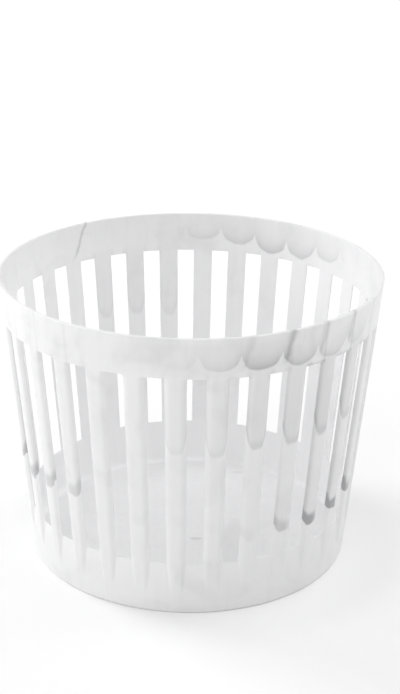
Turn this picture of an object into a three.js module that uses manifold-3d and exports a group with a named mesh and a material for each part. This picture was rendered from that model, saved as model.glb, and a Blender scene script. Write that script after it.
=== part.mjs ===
// Round storage basket with slotted sides, one plastic moulding.
//
// Millimetres, +Z up. The origin is the centre of the foot, on the surface the basket stands on.
// The moulding is divided at its natural borders into a rim band, a ring of slats, a lower band
// and a floor. They are one rigid piece of plastic, and a small gap keeps the solids apart.

import * as THREE from 'three';
import { mergeVertices } from 'three/addons/utils/BufferGeometryUtils.js';
import Module from 'manifold-3d';

const wasm = await Module();
wasm.setup();

// ---- Driving dimensions --------------------------------------------------------------------

const rimDiameter = 279.4; // outside, at the very top
const baseDiameter = 238; // outside, where the basket stands
const height = 216;
const wall = 3; // radial thickness of every part of the side

const rimBandHeight = 30; // plain band above the slots
const lowerBandHeight = 40; // plain band below the slots
const slotCount = 30;
const slotAngle = 5.6; // degrees between two slats, measured on the inside
const firstSlotAngle = -87.8; // degrees from +X to the middle of the first slot
const slatEdgeRound = 2.4; // radius on the two outside edges of a slat

const recessLedge = 0.7; // wall left at the foot of a slot, where the recess is deepest
const rimEdgeRound = 0.8;
const footEdgeRound = 1.5;
const footHeight = 2.5; // the floor is held this far off the table
const floorThickness = 2.5;

const jointGap = 0.3; // keeps two neighbouring solids from touching

// ---- Sizes worked out from them ------------------------------------------------------------

const taper = (rimDiameter - baseDiameter) / 2 / height; // outward lean for each mm of height
const slotFoot = lowerBandHeight;
const slotTop = height - rimBandHeight;
const pitch = (2 * Math.PI) / slotCount;
const slotHalf = THREE.MathUtils.degToRad(slotAngle) / 2;
const slatHalf = pitch / 2 - slotHalf;
const edgeRound = Math.min(slatEdgeRound, wall * 0.85);
const facetsPerPitch = 4;
const ringFacets = slotCount * facetsPerPitch;
const roundSteps = 3;

function outerRadius(z) {
  return baseDiameter / 2 + taper * z;
}

function innerRadius(z) {
  return outerRadius(z) - wall;
}

// ---- Tools for shapes ----------------------------------------------------------------------

// Points of a quarter round about a centre, from one angle to another, in radians.
function arc(x, y, radius, from, to, steps = roundSteps) {
  const points = [];
  for (let i = 0; i <= steps; i += 1) {
    const angle = from + ((to - from) * i) / steps;
    points.push(new THREE.Vector2(x + radius * Math.cos(angle), y + radius * Math.sin(angle)));
  }
  return points;
}

// A ring or disc from its half section, turned about the Z axis.
function turn(profile) {
  const geometry = new THREE.LatheGeometry(profile, ringFacets);
  geometry.rotateX(Math.PI / 2);
  return geometry;
}

// Moves each point outward in step with its height, so that an upright shape follows the wall.
function lean(geometry, fromHeight) {
  const position = geometry.attributes.position;
  for (let i = 0; i < position.count; i += 1) {
    const x = position.getX(i);
    const y = position.getY(i);
    const radius = Math.hypot(x, y);
    const grown = (radius + taper * (position.getZ(i) - fromHeight)) / radius;
    position.setXY(i, x * grown, y * grown);
  }
  return geometry;
}

function toSolid(geometry) {
  const bare = geometry.clone();
  bare.deleteAttribute('normal');
  bare.deleteAttribute('uv');
  const merged = mergeVertices(bare, 1e-4);
  const vertProperties = new Float32Array(merged.attributes.position.array);
  const triVerts = new Uint32Array(merged.index.array);
  return new wasm.Manifold(new wasm.Mesh({ numProp: 3, vertProperties, triVerts }));
}

function toGeometry(solid) {
  const mesh = solid.getMesh();
  const geometry = new THREE.BufferGeometry();
  geometry.setAttribute('position', new THREE.BufferAttribute(mesh.vertProperties, 3));
  geometry.setIndex(new THREE.BufferAttribute(mesh.triVerts, 1));
  geometry.computeVertexNormals();
  return geometry;
}

function marbledPlastic() {
  return new THREE.MeshStandardMaterial({ color: 0xe6e6e7, roughness: 0.38, metalness: 0 });
}

const basket = new THREE.Group();

function add(name, geometry, turnedBy = 0) {
  const mesh = new THREE.Mesh(geometry, marbledPlastic());
  mesh.name = name;
  mesh.rotation.z = turnedBy;
  basket.add(mesh);
}

// ---- Rim band: the plain ring above the slots ----------------------------------------------

function rimBand() {
  const round = Math.min(rimEdgeRound, wall * 0.4);
  const outsideTop = outerRadius(height);
  return turn([
    new THREE.Vector2(innerRadius(slotTop), slotTop),
    new THREE.Vector2(outerRadius(slotTop), slotTop),
    ...arc(outsideTop - round, height - round, round, 0, Math.PI / 2),
    ...arc(outsideTop - wall + round, height - round, round, Math.PI / 2, Math.PI),
    new THREE.Vector2(innerRadius(slotTop), slotTop),
  ]);
}

// ---- Slat: flat inside, with rounded outside edges -----------------------------------------

function slatSection(radius) {
  const inside = radius - wall;
  const halfWidth = radius * Math.sin(slatHalf);
  const insideHalfWidth = inside * Math.sin(slatHalf);
  const faceX = radius * Math.cos(slatHalf);
  const corner = arc(faceX - edgeRound, halfWidth - edgeRound, edgeRound, 0, Math.PI / 2);
  const points = [
    new THREE.Vector2(inside * Math.cos(slatHalf), -insideHalfWidth),
    ...corner.map((p) => new THREE.Vector2(p.x, -p.y)).reverse(),
    new THREE.Vector2(radius - (radius - faceX) * 0.25, 0),
    ...corner,
    new THREE.Vector2(inside * Math.cos(slatHalf), insideHalfWidth),
  ];
  return new THREE.Shape(points);
}

function slat() {
  const from = slotFoot + jointGap;
  const length = slotTop - jointGap - from;
  const section = slatSection(outerRadius(from));
  const geometry = new THREE.ExtrudeGeometry(section, { depth: length, bevelEnabled: false });
  geometry.translate(0, 0, from);
  return lean(geometry, from);
}

// ---- Lower band: the ring below the slots, with a run-out recess under each slot -----------

function lowerBandRing() {
  const round = Math.min(footEdgeRound, wall * 0.6);
  const foot = outerRadius(0);
  return turn([
    new THREE.Vector2(innerRadius(0), 0),
    ...arc(foot - round, round, round, -Math.PI / 2, 0),
    new THREE.Vector2(outerRadius(slotFoot), slotFoot),
    new THREE.Vector2(innerRadius(slotFoot), slotFoot),
    new THREE.Vector2(innerRadius(0), 0),
  ]);
}

// An upright wedge that is as wide as a slot. Its inner face is vertical, so it cuts deepest at
// the foot of the slot and runs out where the leaning wall comes in to meet it.
function recessCutter() {
  const depthFace = innerRadius(slotFoot) + recessLedge;
  const beyond = outerRadius(slotFoot) + wall;
  const narrow = depthFace * Math.sin(slotHalf);
  const wide = narrow + edgeRound;
  const flare = depthFace + edgeRound;
  const section = new THREE.Shape([
    new THREE.Vector2(depthFace, -narrow),
    new THREE.Vector2(flare, -wide),
    new THREE.Vector2(beyond, -wide),
    new THREE.Vector2(beyond, wide),
    new THREE.Vector2(flare, wide),
    new THREE.Vector2(depthFace, narrow),
  ]);
  const geometry = new THREE.ExtrudeGeometry(section, { depth: slotFoot, bevelEnabled: false });
  geometry.translate(0, 0, wall);
  return geometry;
}

function lowerBand() {
  let band = toSolid(lowerBandRing());
  const cutter = recessCutter();
  for (let i = 0; i < slotCount; i += 1) {
    band = band.subtract(toSolid(cutter.clone().rotateZ(i * pitch)));
  }
  return toGeometry(band);
}

// ---- Floor: a plain disc inside the foot of the lower band ---------------------------------

function floor() {
  const top = footHeight + floorThickness;
  return turn([
    new THREE.Vector2(0, footHeight),
    new THREE.Vector2(innerRadius(footHeight) - jointGap, footHeight),
    new THREE.Vector2(innerRadius(top) - jointGap, top),
    new THREE.Vector2(0, top),
  ]);
}

// ---- Assembly ------------------------------------------------------------------------------

const firstSlot = THREE.MathUtils.degToRad(firstSlotAngle);

add('rim_band', rimBand(), firstSlot);
add('lower_band', lowerBand(), firstSlot);
add('basket_floor', floor(), firstSlot);

const slatGeometry = slat();
for (let i = 0; i < slotCount; i += 1) {
  const number = String(i + 1).padStart(2, '0');
  add(`slat_${number}`, slatGeometry, firstSlot + (i + 0.5) * pitch);
}

export default basket;
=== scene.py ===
"""A round slotted storage basket in marbled white plastic, on a plain white floor.

Lengths are in metres, apart from those of the marbling and the lens, which are in millimetres.
The basket is one moulding. Its surface is made here region by region: rim band, slats, lower
band and floor. The regions meet edge to edge, so that no seam shows between them.
"""

import math
import random

import bpy
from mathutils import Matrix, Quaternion, Vector


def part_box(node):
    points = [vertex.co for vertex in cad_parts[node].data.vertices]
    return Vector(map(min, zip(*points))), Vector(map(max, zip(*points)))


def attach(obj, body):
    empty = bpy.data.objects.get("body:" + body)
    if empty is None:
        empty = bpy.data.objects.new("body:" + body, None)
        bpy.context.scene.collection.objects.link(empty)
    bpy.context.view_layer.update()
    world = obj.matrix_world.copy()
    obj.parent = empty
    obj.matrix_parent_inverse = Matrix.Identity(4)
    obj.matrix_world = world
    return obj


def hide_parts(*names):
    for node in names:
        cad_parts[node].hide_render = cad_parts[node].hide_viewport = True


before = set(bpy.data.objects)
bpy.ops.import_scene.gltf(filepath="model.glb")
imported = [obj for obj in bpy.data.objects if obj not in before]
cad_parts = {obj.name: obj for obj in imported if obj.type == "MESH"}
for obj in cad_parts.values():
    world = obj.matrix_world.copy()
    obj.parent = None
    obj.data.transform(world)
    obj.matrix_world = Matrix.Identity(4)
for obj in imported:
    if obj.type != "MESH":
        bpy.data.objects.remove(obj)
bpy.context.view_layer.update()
MM = 0.001

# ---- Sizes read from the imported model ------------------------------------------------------

SAME_HEIGHT = 0.05 * MM


def reach(node, height):
    """Smallest and largest distance from the axis of a node's corners at one height."""
    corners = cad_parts[node].data.vertices
    found = [v.co.xy.length for v in corners if abs(v.co.z - height) < SAME_HEIGHT]
    return min(found), max(found)


slat_names = sorted(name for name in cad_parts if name.startswith("slat_"))
slot_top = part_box("rim_band")[0].z
rim_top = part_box("rim_band")[1].z
slot_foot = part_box("lower_band")[1].z
floor_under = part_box("basket_floor")[0].z
floor_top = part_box("basket_floor")[1].z

inside_at_foot, outside_at_foot = reach("lower_band", slot_foot)
inside_at_top, outside_at_top = reach("rim_band", slot_top)
wall = outside_at_top - inside_at_top
taper = (outside_at_top - outside_at_foot) / (slot_top - slot_foot)
pitch = 2 * math.pi / len(slat_names)

first_slat_low, first_slat_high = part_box("slat_01")
first_slat_middle = (first_slat_low + first_slat_high) / 2
first_slat_angle = math.atan2(first_slat_middle.y, first_slat_middle.x)

# ---- Sizes of the surface detail -----------------------------------------------------------

SLOT_HALF = math.radians(2.8)  # half of a slot, on the inside
SIDE_DEPTH = 2.3 * MM  # of the rounded bevel along the outside edges of the slats
SIDE_WIDTH = 3.0 * MM  # of the same bevel
SIDE_CURVE = 1.3  # of the same bevel; 1 would make it flat
TOP_ROUND = 0.9 * MM  # height of the rounding over a slot
INSIDE_ROUND = 0.5 * MM  # inside edges of the slots
LEDGE = 0.7 * MM  # wall left behind the recess at the foot of a slot
RIM_ROUND = 0.9 * MM
FOOT_ROUND = 1.5 * MM
FLOOR_FILLET = 5 * MM  # between the floor and the side
GATE_RADIUS = 5 * MM  # the gate's dimple, under the floor
GATE_DEPTH = 0.6 * MM
GATE_FLAT = 0.8  # the flat middle of the dimple, as a share of its radius
ROUND_STEPS = 6
INSIDE_STEPS = 3
SLAT_ROWS = 8
LOWER_BAND_ROWS = 24
SHARP_ANGLE = math.radians(40)  # edges sharper than this aren't shaded smooth
slat_half = pitch / 2 - SLOT_HALF


def outside(z):
    return outside_at_foot + taper * (z - slot_foot)


def inside(z):
    return outside(z) - wall


def quarter(radius, distance):
    """How far a rounded edge has dropped, at a distance in from the edge."""
    if distance >= radius:
        return 0.0
    return radius - math.sqrt(max(0.0, radius**2 - (radius - distance) ** 2))


def quarter_turns(steps, start=0.0):
    """Angles of a quarter turn, from start, in even steps."""
    return [start + math.pi / 2 * i / steps for i in range(steps + 1)]


def polar(radius, angle, z):
    return (radius * math.cos(angle), radius * math.sin(angle), z)


# ---- Columns of points, the same for every region ------------------------------------------


def slat_columns():
    """Angles across one slat from its middle, close together where its edges are round."""
    edge = [SIDE_WIDTH * (1 - math.cos(t)) / outside_at_foot for t in quarter_turns(ROUND_STEPS)]
    left = [-slat_half + e for e in edge]
    return left + [left[-1] / 2, 0.0, -left[-1] / 2] + [-a for a in reversed(left)]


def slot_columns():
    """Angles across the slot after a slat, from that slat's middle."""
    middle = pitch / 2
    inset = INSIDE_ROUND / outside_at_foot
    half = SLOT_HALF - inset
    return [middle + half * share for share in (-1, -0.5, 0, 0.5, 1)]


def ring_columns():
    one_pitch = slat_columns() + slot_columns()
    return [first_slat_angle + i * pitch + a for i in range(len(slat_names)) for a in one_pitch]


def beside_slot(angle):
    """Angle from the nearest slot's side. Zero within the slot."""
    turned = angle - first_slat_angle
    offset = abs((turned + pitch / 2) % pitch - pitch / 2)
    return max(0.0, slat_half - offset)


def side_drop(beside, up=0.0):
    """How far the outside has dropped, at an angle beside a slot and a height over its top."""
    in_from_edge = math.hypot(beside * outside_at_foot / SIDE_WIDTH, up / TOP_ROUND)
    return SIDE_DEPTH * max(0.0, 1.0 - in_from_edge) ** SIDE_CURVE


# ---- Grey marks of the marbling, and darker patches on the floor, in millimetres -----------

# For each slat with a mark of its own: the height of its lowest point, and how dark it is.
SCALLOPS = {30: (192, 0.06), 1: (191, 0.36), 2: (190, 1.0), 3: (188.5, 0.8), 4: (188, 0.5),
            5: (191, 0.25), 11: (193, 0.5), 12: (189, 0.65), 13: (188, 0.85), 14: (192, 0.6),
            15: (194, 0.3)}
UPPER_DROPS = {30: (128, 0.4), 1: (126, 0.55), 2: (130, 0.9), 3: (128, 1.0), 4: (128, 1.2),
               5: (131, 0.9), 16: (131, 0.35), 17: (134, 0.5), 18: (135, 0.45)}
LOWER_DROPS = {2: (57, 0.08), 3: (58.5, 0.4), 4: (55.5, 0.9), 5: (57, 0.95), 6: (60, 0.75),
               24: (79, 0.5), 25: (74, 0.5), 26: (78, 0.38), 27: (81, 0.3)}
# For each slot with a vein over it, how dark it is. Slot 1 comes before slat 1.
VEINS = {2: 0.35, 3: 1.0, 4: 0.55, 5: 0.5}
THIN_VEIN = 17.9  # where the thin vein inside the rim band is, in slats from the first
SLOT_TOPS = {2: 0.15, 3: 0.2, 4: 0.75, 5: 0.7, 6: 0.5}
SMEARS = {29: 0.3, 30: 0.9, 1: 1.0, 2: 1.0, 3: 0.4}  # over the rim band, by slat
# Soft darker patches on the floor: the middle, half the size along X and Y, and how dark it is.
FLOOR_DARK_PATCHES = [(32, -27, 13, 34, 0.17), (39, 94, 4.5, 3, 0.18), (6, -20, 4.5, 2.5, 0.35)]
PLAIN_MARK = 0.05  # how dark the marks are elsewhere, at most
USUAL_SCALLOP = 193  # heights of the marks elsewhere
USUAL_UPPER_DROP = 131
USUAL_LOWER_DROP = 68
HEIGHT_CHANCE = 4  # how far a mark elsewhere is above or below its usual height, at most
VEIN_FOOT = 192  # height of the veins' lower end
VEIN_RISE = 24  # from there to the rim
VEIN_LEAN = 0.16  # in slats, over that rise
THIN_VEIN_LEAN = 0.43


def marks_by_slat(marks, usual_height, seed):
    """Height and darkness for every slat, with chance ones where none is given."""
    chance = random.Random(seed)
    found = []
    for number in range(1, len(slat_names) + 1):
        height = usual_height + chance.uniform(-HEIGHT_CHANCE, HEIGHT_CHANCE)
        found.append(marks.get(number, (height, PLAIN_MARK * chance.random())))
    return found


scallops = marks_by_slat(SCALLOPS, USUAL_SCALLOP, seed=1)
upper_drops = marks_by_slat(UPPER_DROPS, USUAL_UPPER_DROP, seed=2)
lower_drops = marks_by_slat(LOWER_DROPS, USUAL_LOWER_DROP, seed=3)
smears = [SMEARS.get(number, 0.0) for number in range(1, len(slat_names) + 1)]


def blend_between(values, place):
    """A value between two slats' own, at a place counted in slats from the first."""
    before = math.floor(place)
    share = place - before
    share = share * share * (3 - 2 * share)
    count = len(values)
    return values[before % count] * (1 - share) + values[(before + 1) % count] * share


def mark_numbers(angle):
    """Everything the material needs to know about the marks at one angle."""
    place = (angle - first_slat_angle) / pitch
    slat = round(place) % len(slat_names)
    slot = math.floor(place + 1) % len(slat_names) + 1
    return {
        "scallop_height": blend_between([h for h, g in scallops], place),
        "scallop_grey": blend_between([g for h, g in scallops], place),
        "smear_grey": blend_between(smears, place),
        "upper_height": upper_drops[slat][0],
        "upper_grey": upper_drops[slat][1],
        "lower_height": lower_drops[slat][0],
        "lower_grey": lower_drops[slat][1],
        "vein_grey": VEINS.get(slot, PLAIN_MARK),
        "slot_top_grey": SLOT_TOPS.get(slot, 0.0),
    }


MARK_NAMES = list(mark_numbers(0.0))

# ---- Mesh tools ----------------------------------------------------------------------------


def quads_between(rows, columns, wrap_rows):
    """Faces between neighbouring rows of points, each row closed on itself."""
    faces = []
    for row in range(rows if wrap_rows else rows - 1):
        here = row * columns
        there = ((row + 1) % rows) * columns
        for column in range(columns):
            after = (column + 1) % columns
            faces.append((here + column, here + after, there + after, there + column))
    return faces


def make_piece(node, points, faces):
    mesh = bpy.data.meshes.new(node + "_skin")
    mesh.from_pydata(points, [], faces)
    mesh.shade_smooth()
    mesh.set_sharp_from_angle(angle=SHARP_ANGLE)
    numbers = [mark_numbers(math.atan2(y, x)) for x, y, z in points]
    for name in MARK_NAMES:
        values = [found[name] for found in numbers]
        mesh.attributes.new(name, "FLOAT", "POINT").data.foreach_set("value", values)
    piece = bpy.data.objects.new(node + "_skin", mesh)
    bpy.context.scene.collection.objects.link(piece)
    mesh.materials.append(marbled_plastic)
    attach(piece, "root")
    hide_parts(node)


# ---- Marbled plastic -----------------------------------------------------------------------

PALEST = (0.97, 0.97, 0.975, 1)
GREYEST = (0.42, 0.42, 0.43, 1)
PLASTIC_ROUGHNESS = 0.4
PLASTIC_IOR = 1.49
EVEN_GREY = 0.08  # how grey the plastic is without any mark
CLOUD_GREY = 0.1  # of the soft clouds
STREAK_GREY = 0.045  # of the upright streaks
SMEAR_STRENGTH = 0.13
VEIN_STRENGTH = 0.5
THIN_VEIN_STRENGTH = 0.45
SLOT_TOP_STRENGTH = 0.45
FLOOR_STRENGTH = 0.19
FLOOR_MIDDLE_PAINTED_SHADE = 0.13  # painted shade: more, towards the middle of the floor, away from the thin walls


class Field:
    """A number that varies over the surface, worked out by math nodes."""

    def __init__(self, tree, socket):
        self.tree = tree
        self.socket = socket

    def math(self, operation, *others):
        node = self.tree.nodes.new("ShaderNodeMath")
        node.operation = operation
        for socket, value in zip(node.inputs, (self, *others)):
            if isinstance(value, Field):
                self.tree.links.new(value.socket, socket)
            else:
                socket.default_value = value
        return Field(self.tree, node.outputs[0])

    def __add__(self, other):
        return self.math("ADD", other)

    def __sub__(self, other):
        return self.math("SUBTRACT", other)

    def __mul__(self, other):
        return self.math("MULTIPLY", other)

    def __truediv__(self, other):
        return self.math("DIVIDE", other)

    def __pow__(self, other):
        return self.math("POWER", other)

    def __abs__(self):
        return self.math("ABSOLUTE")

    def from_middle(self):
        """The fraction less a half: 0 half way between two whole numbers."""
        return self.math("FRACT") - 0.5

    def fade(self, start, end):
        """Rises smoothly from 0 to 1 as the number goes from start to end."""
        node = self.tree.nodes.new("ShaderNodeMapRange")
        node.interpolation_type = "SMOOTHSTEP"
        self.tree.links.new(self.socket, node.inputs["Value"])
        node.inputs["From Min"].default_value = start
        node.inputs["From Max"].default_value = end
        return Field(self.tree, node.outputs["Result"])

    def decay(self, length):
        """1 up to zero, then falling away over a length."""
        return (self.math("MAXIMUM", 0.0) / -length).math("EXPONENT")

    def bump(self, width):
        """1 at zero, falling away to both sides."""
        away = self / width
        return (away * away * -1.0).math("EXPONENT")


class Pattern:
    """Where a point of the basket is, for the marbling."""

    def __init__(self, tree):
        self.tree = tree
        coordinates = tree.nodes.new("ShaderNodeTexCoord")
        split = tree.nodes.new("ShaderNodeSeparateXYZ")
        tree.links.new(coordinates.outputs["Object"], split.inputs[0])
        self.x, self.y, self.z = (Field(tree, socket) / MM for socket in split.outputs)
        angle = self.y.math("ARCTAN2", self.x)
        self.turns = (angle - first_slat_angle) / pitch
        self.radius = (self.x * self.x + self.y * self.y).math("SQRT")

    def given(self, name):
        node = self.tree.nodes.new("ShaderNodeAttribute")
        node.attribute_name = name
        return Field(self.tree, node.outputs["Fac"])

    def noise(self, size, detail=2.0, lengthen=1.0, distortion=0.0):
        """Noise from -0.5 to 0.5, with its features of a size in mm, longer in height."""
        point = self.tree.nodes.new("ShaderNodeCombineXYZ")
        for socket, value in zip(point.inputs, (self.x, self.y, self.z / lengthen)):
            self.tree.links.new(value.socket, socket)
        node = self.tree.nodes.new("ShaderNodeTexNoise")
        self.tree.links.new(point.outputs[0], node.inputs["Vector"])
        node.inputs["Scale"].default_value = 1 / size
        node.inputs["Detail"].default_value = detail
        node.inputs["Distortion"].default_value = distortion
        return Field(self.tree, node.outputs["Fac"]) - 0.5


def scallop_grey(pattern, wobble):
    """Scallops in the rim band, one over each slat, with cusps over the slots."""
    across = abs((pattern.turns + 0.5 + wobble * 0.15).from_middle()) * 2.0
    line = pattern.given("scallop_height") + across**2.0 * 6.0 + across**8.0 * 6.0
    above = pattern.z - line + wobble * 3.0
    edge_on = across.fade(1.05, 0.7) * 0.75 + 0.25
    body = above.decay(5.5) * 0.6 * edge_on + above.decay(14) * 0.22
    return above.fade(0, 2.0) * body * pattern.given("scallop_grey")


def smear_grey(pattern, streaks):
    """A cloudy part of the rim band."""
    height = pattern.z.fade(186, 194) * pattern.z.fade(217, 208)
    return height * (streaks * 0.5 + 0.7) * pattern.given("smear_grey") * SMEAR_STRENGTH


def floor_grey_and_painted_shade(pattern, wobble):
    """The floor is greyer than the side, with painted shade towards its middle and a few soft
    darker patches.
    """
    floor = pattern.radius.fade(116.5, 112) * pattern.z.fade(8, 3)
    # painted shade: darker towards the middle of the floor, away from the light near the walls
    middle = pattern.radius.fade(112, 40)
    grey = floor * (middle * FLOOR_MIDDLE_PAINTED_SHADE + FLOOR_STRENGTH)
    for middle_x, middle_y, half_x, half_y, dark in FLOOR_DARK_PATCHES:
        along_x = (pattern.x - middle_x) / half_x
        along_y = (pattern.y - middle_y) / half_y
        away = along_x * along_x + along_y * along_y + wobble * 1.5
        grey = grey + away.fade(1.5, 0.6) * floor * dark
    return grey


def vein_grey(pattern, wobble):
    """Leaning veins that run up the rim band from the cusps."""
    up = (pattern.z - VEIN_FOOT) / VEIN_RISE
    away = pattern.turns.from_middle() - up * VEIN_LEAN - 0.08 + wobble * 0.16
    wide = up.math("MAXIMUM", 0.0) * 0.5 + 0.75
    dark = (away / wide).bump(0.085) * pattern.z.fade(190, 200)
    thin = (pattern.turns + up * THIN_VEIN_LEAN - THIN_VEIN + wobble * 0.2).bump(0.045)
    dark = dark * pattern.given("vein_grey") * VEIN_STRENGTH
    return dark + thin * pattern.z.fade(186, 196) * THIN_VEIN_STRENGTH


def slot_top_grey(pattern, wobble):
    """A thin line over some of the slots."""
    above = pattern.z - slot_top / MM - 1.0 + wobble * 3.0
    over_slot = abs(pattern.turns.from_middle()).fade(0.34, 0.24)
    return above.bump(1.3) * over_slot * pattern.given("slot_top_grey") * SLOT_TOP_STRENGTH


def upper_drop_grey(pattern, wobble, across):
    """A slat is greyer above a soft front, and darkest just over it."""
    line = pattern.given("upper_height") + (across / 0.8) ** 4.0 * 6.0
    above = pattern.z - line + wobble * 6.0
    shape = above.fade(10, 3) * 0.14 + above.decay(90) * 0.2
    edge = across.fade(0.7, 0.95) * above.decay(50) * 0.14
    on_slat = across.fade(1.5, 1.0) * pattern.z.fade(194, 187)
    return above.fade(-0.5, 3) * (shape + edge) * on_slat * pattern.given("upper_grey")


def lower_drop_grey(pattern, wobble, across, frontward):
    """A dark drop that ends low on a slat, with a thin line up the slat's edge nearer the front."""
    line = pattern.given("lower_height") + across**3.0 * 6.0
    above = pattern.z - line + wobble * 8.0
    drop = above.fade(13, 5) * (frontward.fade(-1.0, 0.1) * 0.8 + 0.2) + above.decay(70) * 0.13
    edge = frontward.fade(0.6, 0.95) * above.decay(170) * 0.4
    on_slat = across.fade(1.12, 1.0)
    return above.fade(-0.5, 2) * (drop + edge) * on_slat * pattern.given("lower_grey")


def marbled_material():
    material = bpy.data.materials.new("marbled_plastic")
    material.use_nodes = True
    tree = material.node_tree
    pattern = Pattern(tree)
    wobble = pattern.noise(9)
    beside_middle = (pattern.turns + 0.5).from_middle() * (pitch / slat_half)
    across = abs(beside_middle)
    frontward = beside_middle * pattern.x.math("SIGN") * -1.0
    grey = scallop_grey(pattern, wobble) + vein_grey(pattern, wobble)
    grey = grey + slot_top_grey(pattern, wobble)
    grey = grey + upper_drop_grey(pattern, wobble, across)
    grey = grey + lower_drop_grey(pattern, wobble, across, frontward)
    clouds = pattern.noise(34, detail=3.0, distortion=0.6).fade(-0.02, 0.28)
    streaks = pattern.noise(5, lengthen=14.0).fade(-0.05, 0.3)

    # Painted light: low on the inside there is less grey and fewer clouds, in place of the light
    # that comes through a thin wall.
    into_wall = pattern.z * taper + outside(0.0) / MM - pattern.radius
    painted_light_low_inside = into_wall.fade(0.5, 2.5) * pattern.z.fade(75, 25)
    cloudiness = pattern.z.fade(182, 192) * 0.7 + painted_light_low_inside * -0.6 + 1.0
    grey = grey + clouds * cloudiness * CLOUD_GREY + streaks * STREAK_GREY
    # painted light: the even grey is left out low on the inside
    grey = grey + (painted_light_low_inside * -1.0 + 1.0) * EVEN_GREY
    grey = grey + smear_grey(pattern, clouds) + floor_grey_and_painted_shade(pattern, wobble)

    colors = tree.nodes.new("ShaderNodeMix")
    colors.data_type = "RGBA"
    colors.inputs["A"].default_value = PALEST
    colors.inputs["B"].default_value = GREYEST
    tree.links.new(grey.math("MINIMUM", 1.0).socket, colors.inputs["Factor"])
    shader = tree.nodes["Principled BSDF"]
    shader.inputs["Roughness"].default_value = PLASTIC_ROUGHNESS
    shader.inputs["IOR"].default_value = PLASTIC_IOR
    tree.links.new(colors.outputs["Result"], shader.inputs["Base Color"])
    return material


marbled_plastic = marbled_material()

# ---- Slats ---------------------------------------------------------------------------------


def slat_section(z):
    """Closed outline of a slat at one height, as (angle, radius) pairs."""
    points = []
    for angle in slat_columns():
        points.append((angle, outside(z) - side_drop(slat_half - abs(angle))))
    back = []
    for turn in quarter_turns(INSIDE_STEPS):
        angle = slat_half - INSIDE_ROUND * (1 - math.cos(turn)) / outside_at_foot
        back.append((angle, inside(z) + INSIDE_ROUND * (1 - math.sin(turn))))
    return points + back + [(0.0, inside(z))] + [(-a, r) for a, r in reversed(back)]


def make_slats():
    rise = slot_top - slot_foot
    heights = [slot_foot + rise * i / (SLAT_ROWS - 1) for i in range(SLAT_ROWS)]
    for i, name in enumerate(slat_names):
        middle = first_slat_angle + i * pitch
        points = []
        for z in heights:
            points += [polar(radius, middle + angle, z) for angle, radius in slat_section(z)]
        columns = len(slat_section(slot_foot))
        faces = quads_between(SLAT_ROWS, columns, wrap_rows=False)
        faces.append(tuple(reversed(range(columns))))
        faces.append(tuple(range((SLAT_ROWS - 1) * columns, SLAT_ROWS * columns)))
        make_piece(name, points, faces)


# ---- Bands ---------------------------------------------------------------------------------


def make_ring(node, profile):
    """A ring whose outline at each column is profile(angle), as (radius, z) pairs."""
    angles = ring_columns()
    points = []
    for angle in angles:
        points += [polar(radius, angle, z) for radius, z in profile(angle)]
    faces = quads_between(len(angles), len(profile(0.0)), wrap_rows=True)
    make_piece(node, points, [tuple(reversed(face)) for face in faces])


def rim_profile(angle):
    """From the slots' top, up the outside, over the rim and down the inside."""
    beside = beside_slot(angle)
    points = []
    for turn in quarter_turns(ROUND_STEPS):
        up = TOP_ROUND * (1 - math.cos(turn))
        points.append((outside(slot_top + up) - side_drop(beside, up), slot_top + up))
    plain = [slot_top + share * (rim_top - slot_top) for share in (0.15, 0.3, 0.5, 0.7, 0.9)]
    points += [(outside(z), z) for z in plain]
    low = rim_top - RIM_ROUND
    for turn in quarter_turns(ROUND_STEPS):
        middle = outside(rim_top) - RIM_ROUND
        points.append((middle + RIM_ROUND * math.cos(turn), low + RIM_ROUND * math.sin(turn)))
    for turn in quarter_turns(ROUND_STEPS, math.pi / 2):
        middle = inside(rim_top) + RIM_ROUND
        points.append((middle + RIM_ROUND * math.cos(turn), low + RIM_ROUND * math.sin(turn)))
    points += [(inside(z), z) for z in reversed(plain)]
    for turn in quarter_turns(INSIDE_STEPS):
        up = INSIDE_ROUND * (1 - math.sin(turn))
        distance = math.hypot(beside * inside_at_foot, up)
        points.append((inside(slot_top + up) + quarter(INSIDE_ROUND, distance), slot_top + up))
    return points


def lower_profile(angle):
    """From the inside of the foot, round it, up the outside and down the inside."""
    points = [(inside(0.0), 0.0)]
    for turn in quarter_turns(ROUND_STEPS, -math.pi / 2):
        middle = outside(0.0) - FOOT_ROUND
        points.append((middle + FOOT_ROUND * math.cos(turn), FOOT_ROUND * (1 + math.sin(turn))))
    beside = beside_slot(angle)
    recess = inside(slot_foot) + LEDGE
    start = 3 * FOOT_ROUND
    for i in range(LOWER_BAND_ROWS + 1):
        z = start + (slot_foot - start) * i / LOWER_BAND_ROWS
        side = outside(z) - side_drop(beside)
        points.append((min(outside(z), max(side, recess)), z))
    for turn in quarter_turns(INSIDE_STEPS):
        down = INSIDE_ROUND * (1 - math.cos(turn))
        distance = math.hypot(beside * inside_at_foot, down)
        z = slot_foot - down
        points.append((inside(z) + quarter(INSIDE_ROUND, distance), z))
    fillet_top = floor_top + FLOOR_FILLET
    points += [(inside(z), z) for z in (slot_foot - 5 * MM, slot_foot - 15 * MM, fillet_top)]
    points += [(inside(z), z) for z in (floor_under, floor_under / 2)]
    return points


# ---- Floor ---------------------------------------------------------------------------------


def floor_profile():
    """From the gate's dimple, out under the floor, up the fillet and back to the middle."""
    dimple = floor_under + GATE_DEPTH
    points = [(GATE_RADIUS * GATE_FLAT, dimple), (GATE_RADIUS, floor_under)]
    points += [(inside(floor_under) * share, floor_under) for share in (0.3, 0.6, 0.9, 1.0)]
    middle = inside(floor_top + FLOOR_FILLET) - FLOOR_FILLET
    for turn in quarter_turns(ROUND_STEPS):
        radius = middle + FLOOR_FILLET * math.cos(turn)
        points.append((radius, floor_top + FLOOR_FILLET * (1 - math.sin(turn))))
    points += [(middle * share, floor_top) for share in (0.85, 0.6, 0.35, 0.1)]
    return points


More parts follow.
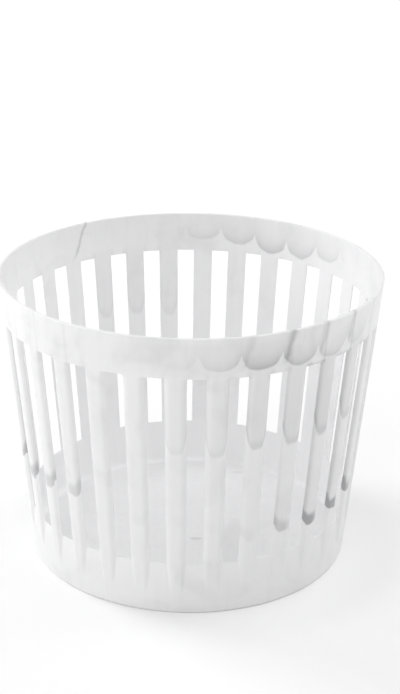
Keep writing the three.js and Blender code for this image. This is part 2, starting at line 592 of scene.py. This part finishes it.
def make_floor():
    profile = floor_profile()
    angles = ring_columns()
    points = []
    for radius, z in profile:
        points += [polar(radius, angle, z) for angle in angles]
    faces = quads_between(len(profile), len(angles), wrap_rows=False)
    under, over = len(points), len(points) + 1
    points += [(0.0, 0.0, profile[0][1]), (0.0, 0.0, profile[-1][1])]
    last = (len(profile) - 1) * len(angles)
    for i in range(len(angles)):
        after = (i + 1) % len(angles)
        faces.append((under, after, i))
        faces.append((over, last + i, last + after))
    make_piece("basket_floor", points, faces)


make_slats()
make_ring("rim_band", rim_profile)
make_ring("lower_band", lower_profile)
make_floor()

# ---- Ground, light and camera --------------------------------------------------------------

GROUND_HALF = 8.0
GROUND_COLOR = (0.97, 0.97, 0.97, 1)
GROUND_ROUGHNESS = 0.9
GROUND_GLOW = 0.02  # close to the basket
MIDDLE_GLOW = 0.1  # more, further out
FAR_GLOW = 0.5  # more again, to meet the backdrop
WORLD_STRENGTH = 0.35  # as light
BACKDROP_STRENGTH = 0.97  # as seen behind the basket
LIGHT_DISTANCE = 2.0
LIGHT_AIM = Vector((0, 0, 0.1))
# Name, azimuth and elevation in degrees, diameter in metres and power in watts.
SOFTBOXES = [
    ("left_softbox", 200, 22, 2.0, 10),
    ("key_softbox", 151, 36, 0.9, 14.8),
    ("right_softbox", 30, 38, 1.8, 11.5),
    ("top_softbox", 340, 62, 1.2, 5.5),
    ("front_softbox", 270, 60, 1.2, 6.4),
]


def make_ground():
    material = bpy.data.materials.new("white_ground")
    material.use_nodes = True
    shader = material.node_tree.nodes["Principled BSDF"]
    shader.inputs["Base Color"].default_value = GROUND_COLOR
    shader.inputs["Emission Color"].default_value = (1, 1, 1, 1)
    far = Pattern(material.node_tree).radius
    glow = far.fade(200, 900) * MIDDLE_GLOW + far.fade(600, 2500) * FAR_GLOW + GROUND_GLOW
    material.node_tree.links.new(glow.socket, shader.inputs["Emission Strength"])
    shader.inputs["Roughness"].default_value = GROUND_ROUGHNESS
    mesh = bpy.data.meshes.new("ground")
    side = GROUND_HALF
    corners = [(-side, -side, 0), (side, -side, 0), (side, side, 0), (-side, side, 0)]
    mesh.from_pydata(corners, [], [(0, 1, 2, 3)])
    mesh.materials.append(material)
    ground = bpy.data.objects.new("ground", mesh)
    bpy.context.scene.collection.objects.link(ground)


def make_softbox(name, azimuth, elevation, size, power):
    """A round light, aimed at the basket. Azimuth 0 is +X, 90 is +Y."""
    away = math.radians(azimuth)
    up = math.radians(elevation)
    spread = math.cos(up)
    toward = Vector((spread * math.cos(away), spread * math.sin(away), math.sin(up)))
    data = bpy.data.lights.new(name, "AREA")
    data.shape = "DISK"
    data.size = size
    data.energy = power
    light = bpy.data.objects.new(name, data)
    light.location = LIGHT_AIM + toward * LIGHT_DISTANCE
    light.rotation_euler = toward.to_track_quat("Z", "Y").to_euler()
    bpy.context.scene.collection.objects.link(light)


def make_lights():
    world = bpy.data.worlds.new("studio")
    world.use_nodes = True
    background = world.node_tree.nodes["Background"]
    background.inputs["Color"].default_value = (1, 1, 1, 1)
    path = world.node_tree.nodes.new("ShaderNodeLightPath")
    seen = Field(world.node_tree, path.outputs["Is Camera Ray"])
    strength = seen * (BACKDROP_STRENGTH - WORLD_STRENGTH) + WORLD_STRENGTH
    world.node_tree.links.new(strength.socket, background.inputs["Strength"])
    bpy.context.scene.world = world
    for softbox in SOFTBOXES:
        make_softbox(*softbox)


LENS = 79.9  # focal length in millimetres, as is the sensor's width
SENSOR_WIDTH = 36
DISTANCE = 1.140
ELEVATION = math.radians(21.89)
ROLL = math.radians(-0.68)
AIM = Vector((0.0071, 0.0, 0.1548))


def make_camera():
    data = bpy.data.cameras.new("camera")
    data.lens = LENS
    data.sensor_width = SENSOR_WIDTH
    camera = bpy.data.objects.new("camera", data)
    forward = Vector((0, math.cos(ELEVATION), -math.sin(ELEVATION)))
    camera.location = AIM - forward * DISTANCE
    camera.rotation_mode = "QUATERNION"
    camera.rotation_quaternion = Quaternion(forward, ROLL) @ forward.to_track_quat("-Z", "Y")
    bpy.context.scene.collection.objects.link(camera)
    bpy.context.scene.camera = camera


make_ground()
make_lights()
make_camera()
bpy.context.scene.view_settings.view_transform = "Standard"
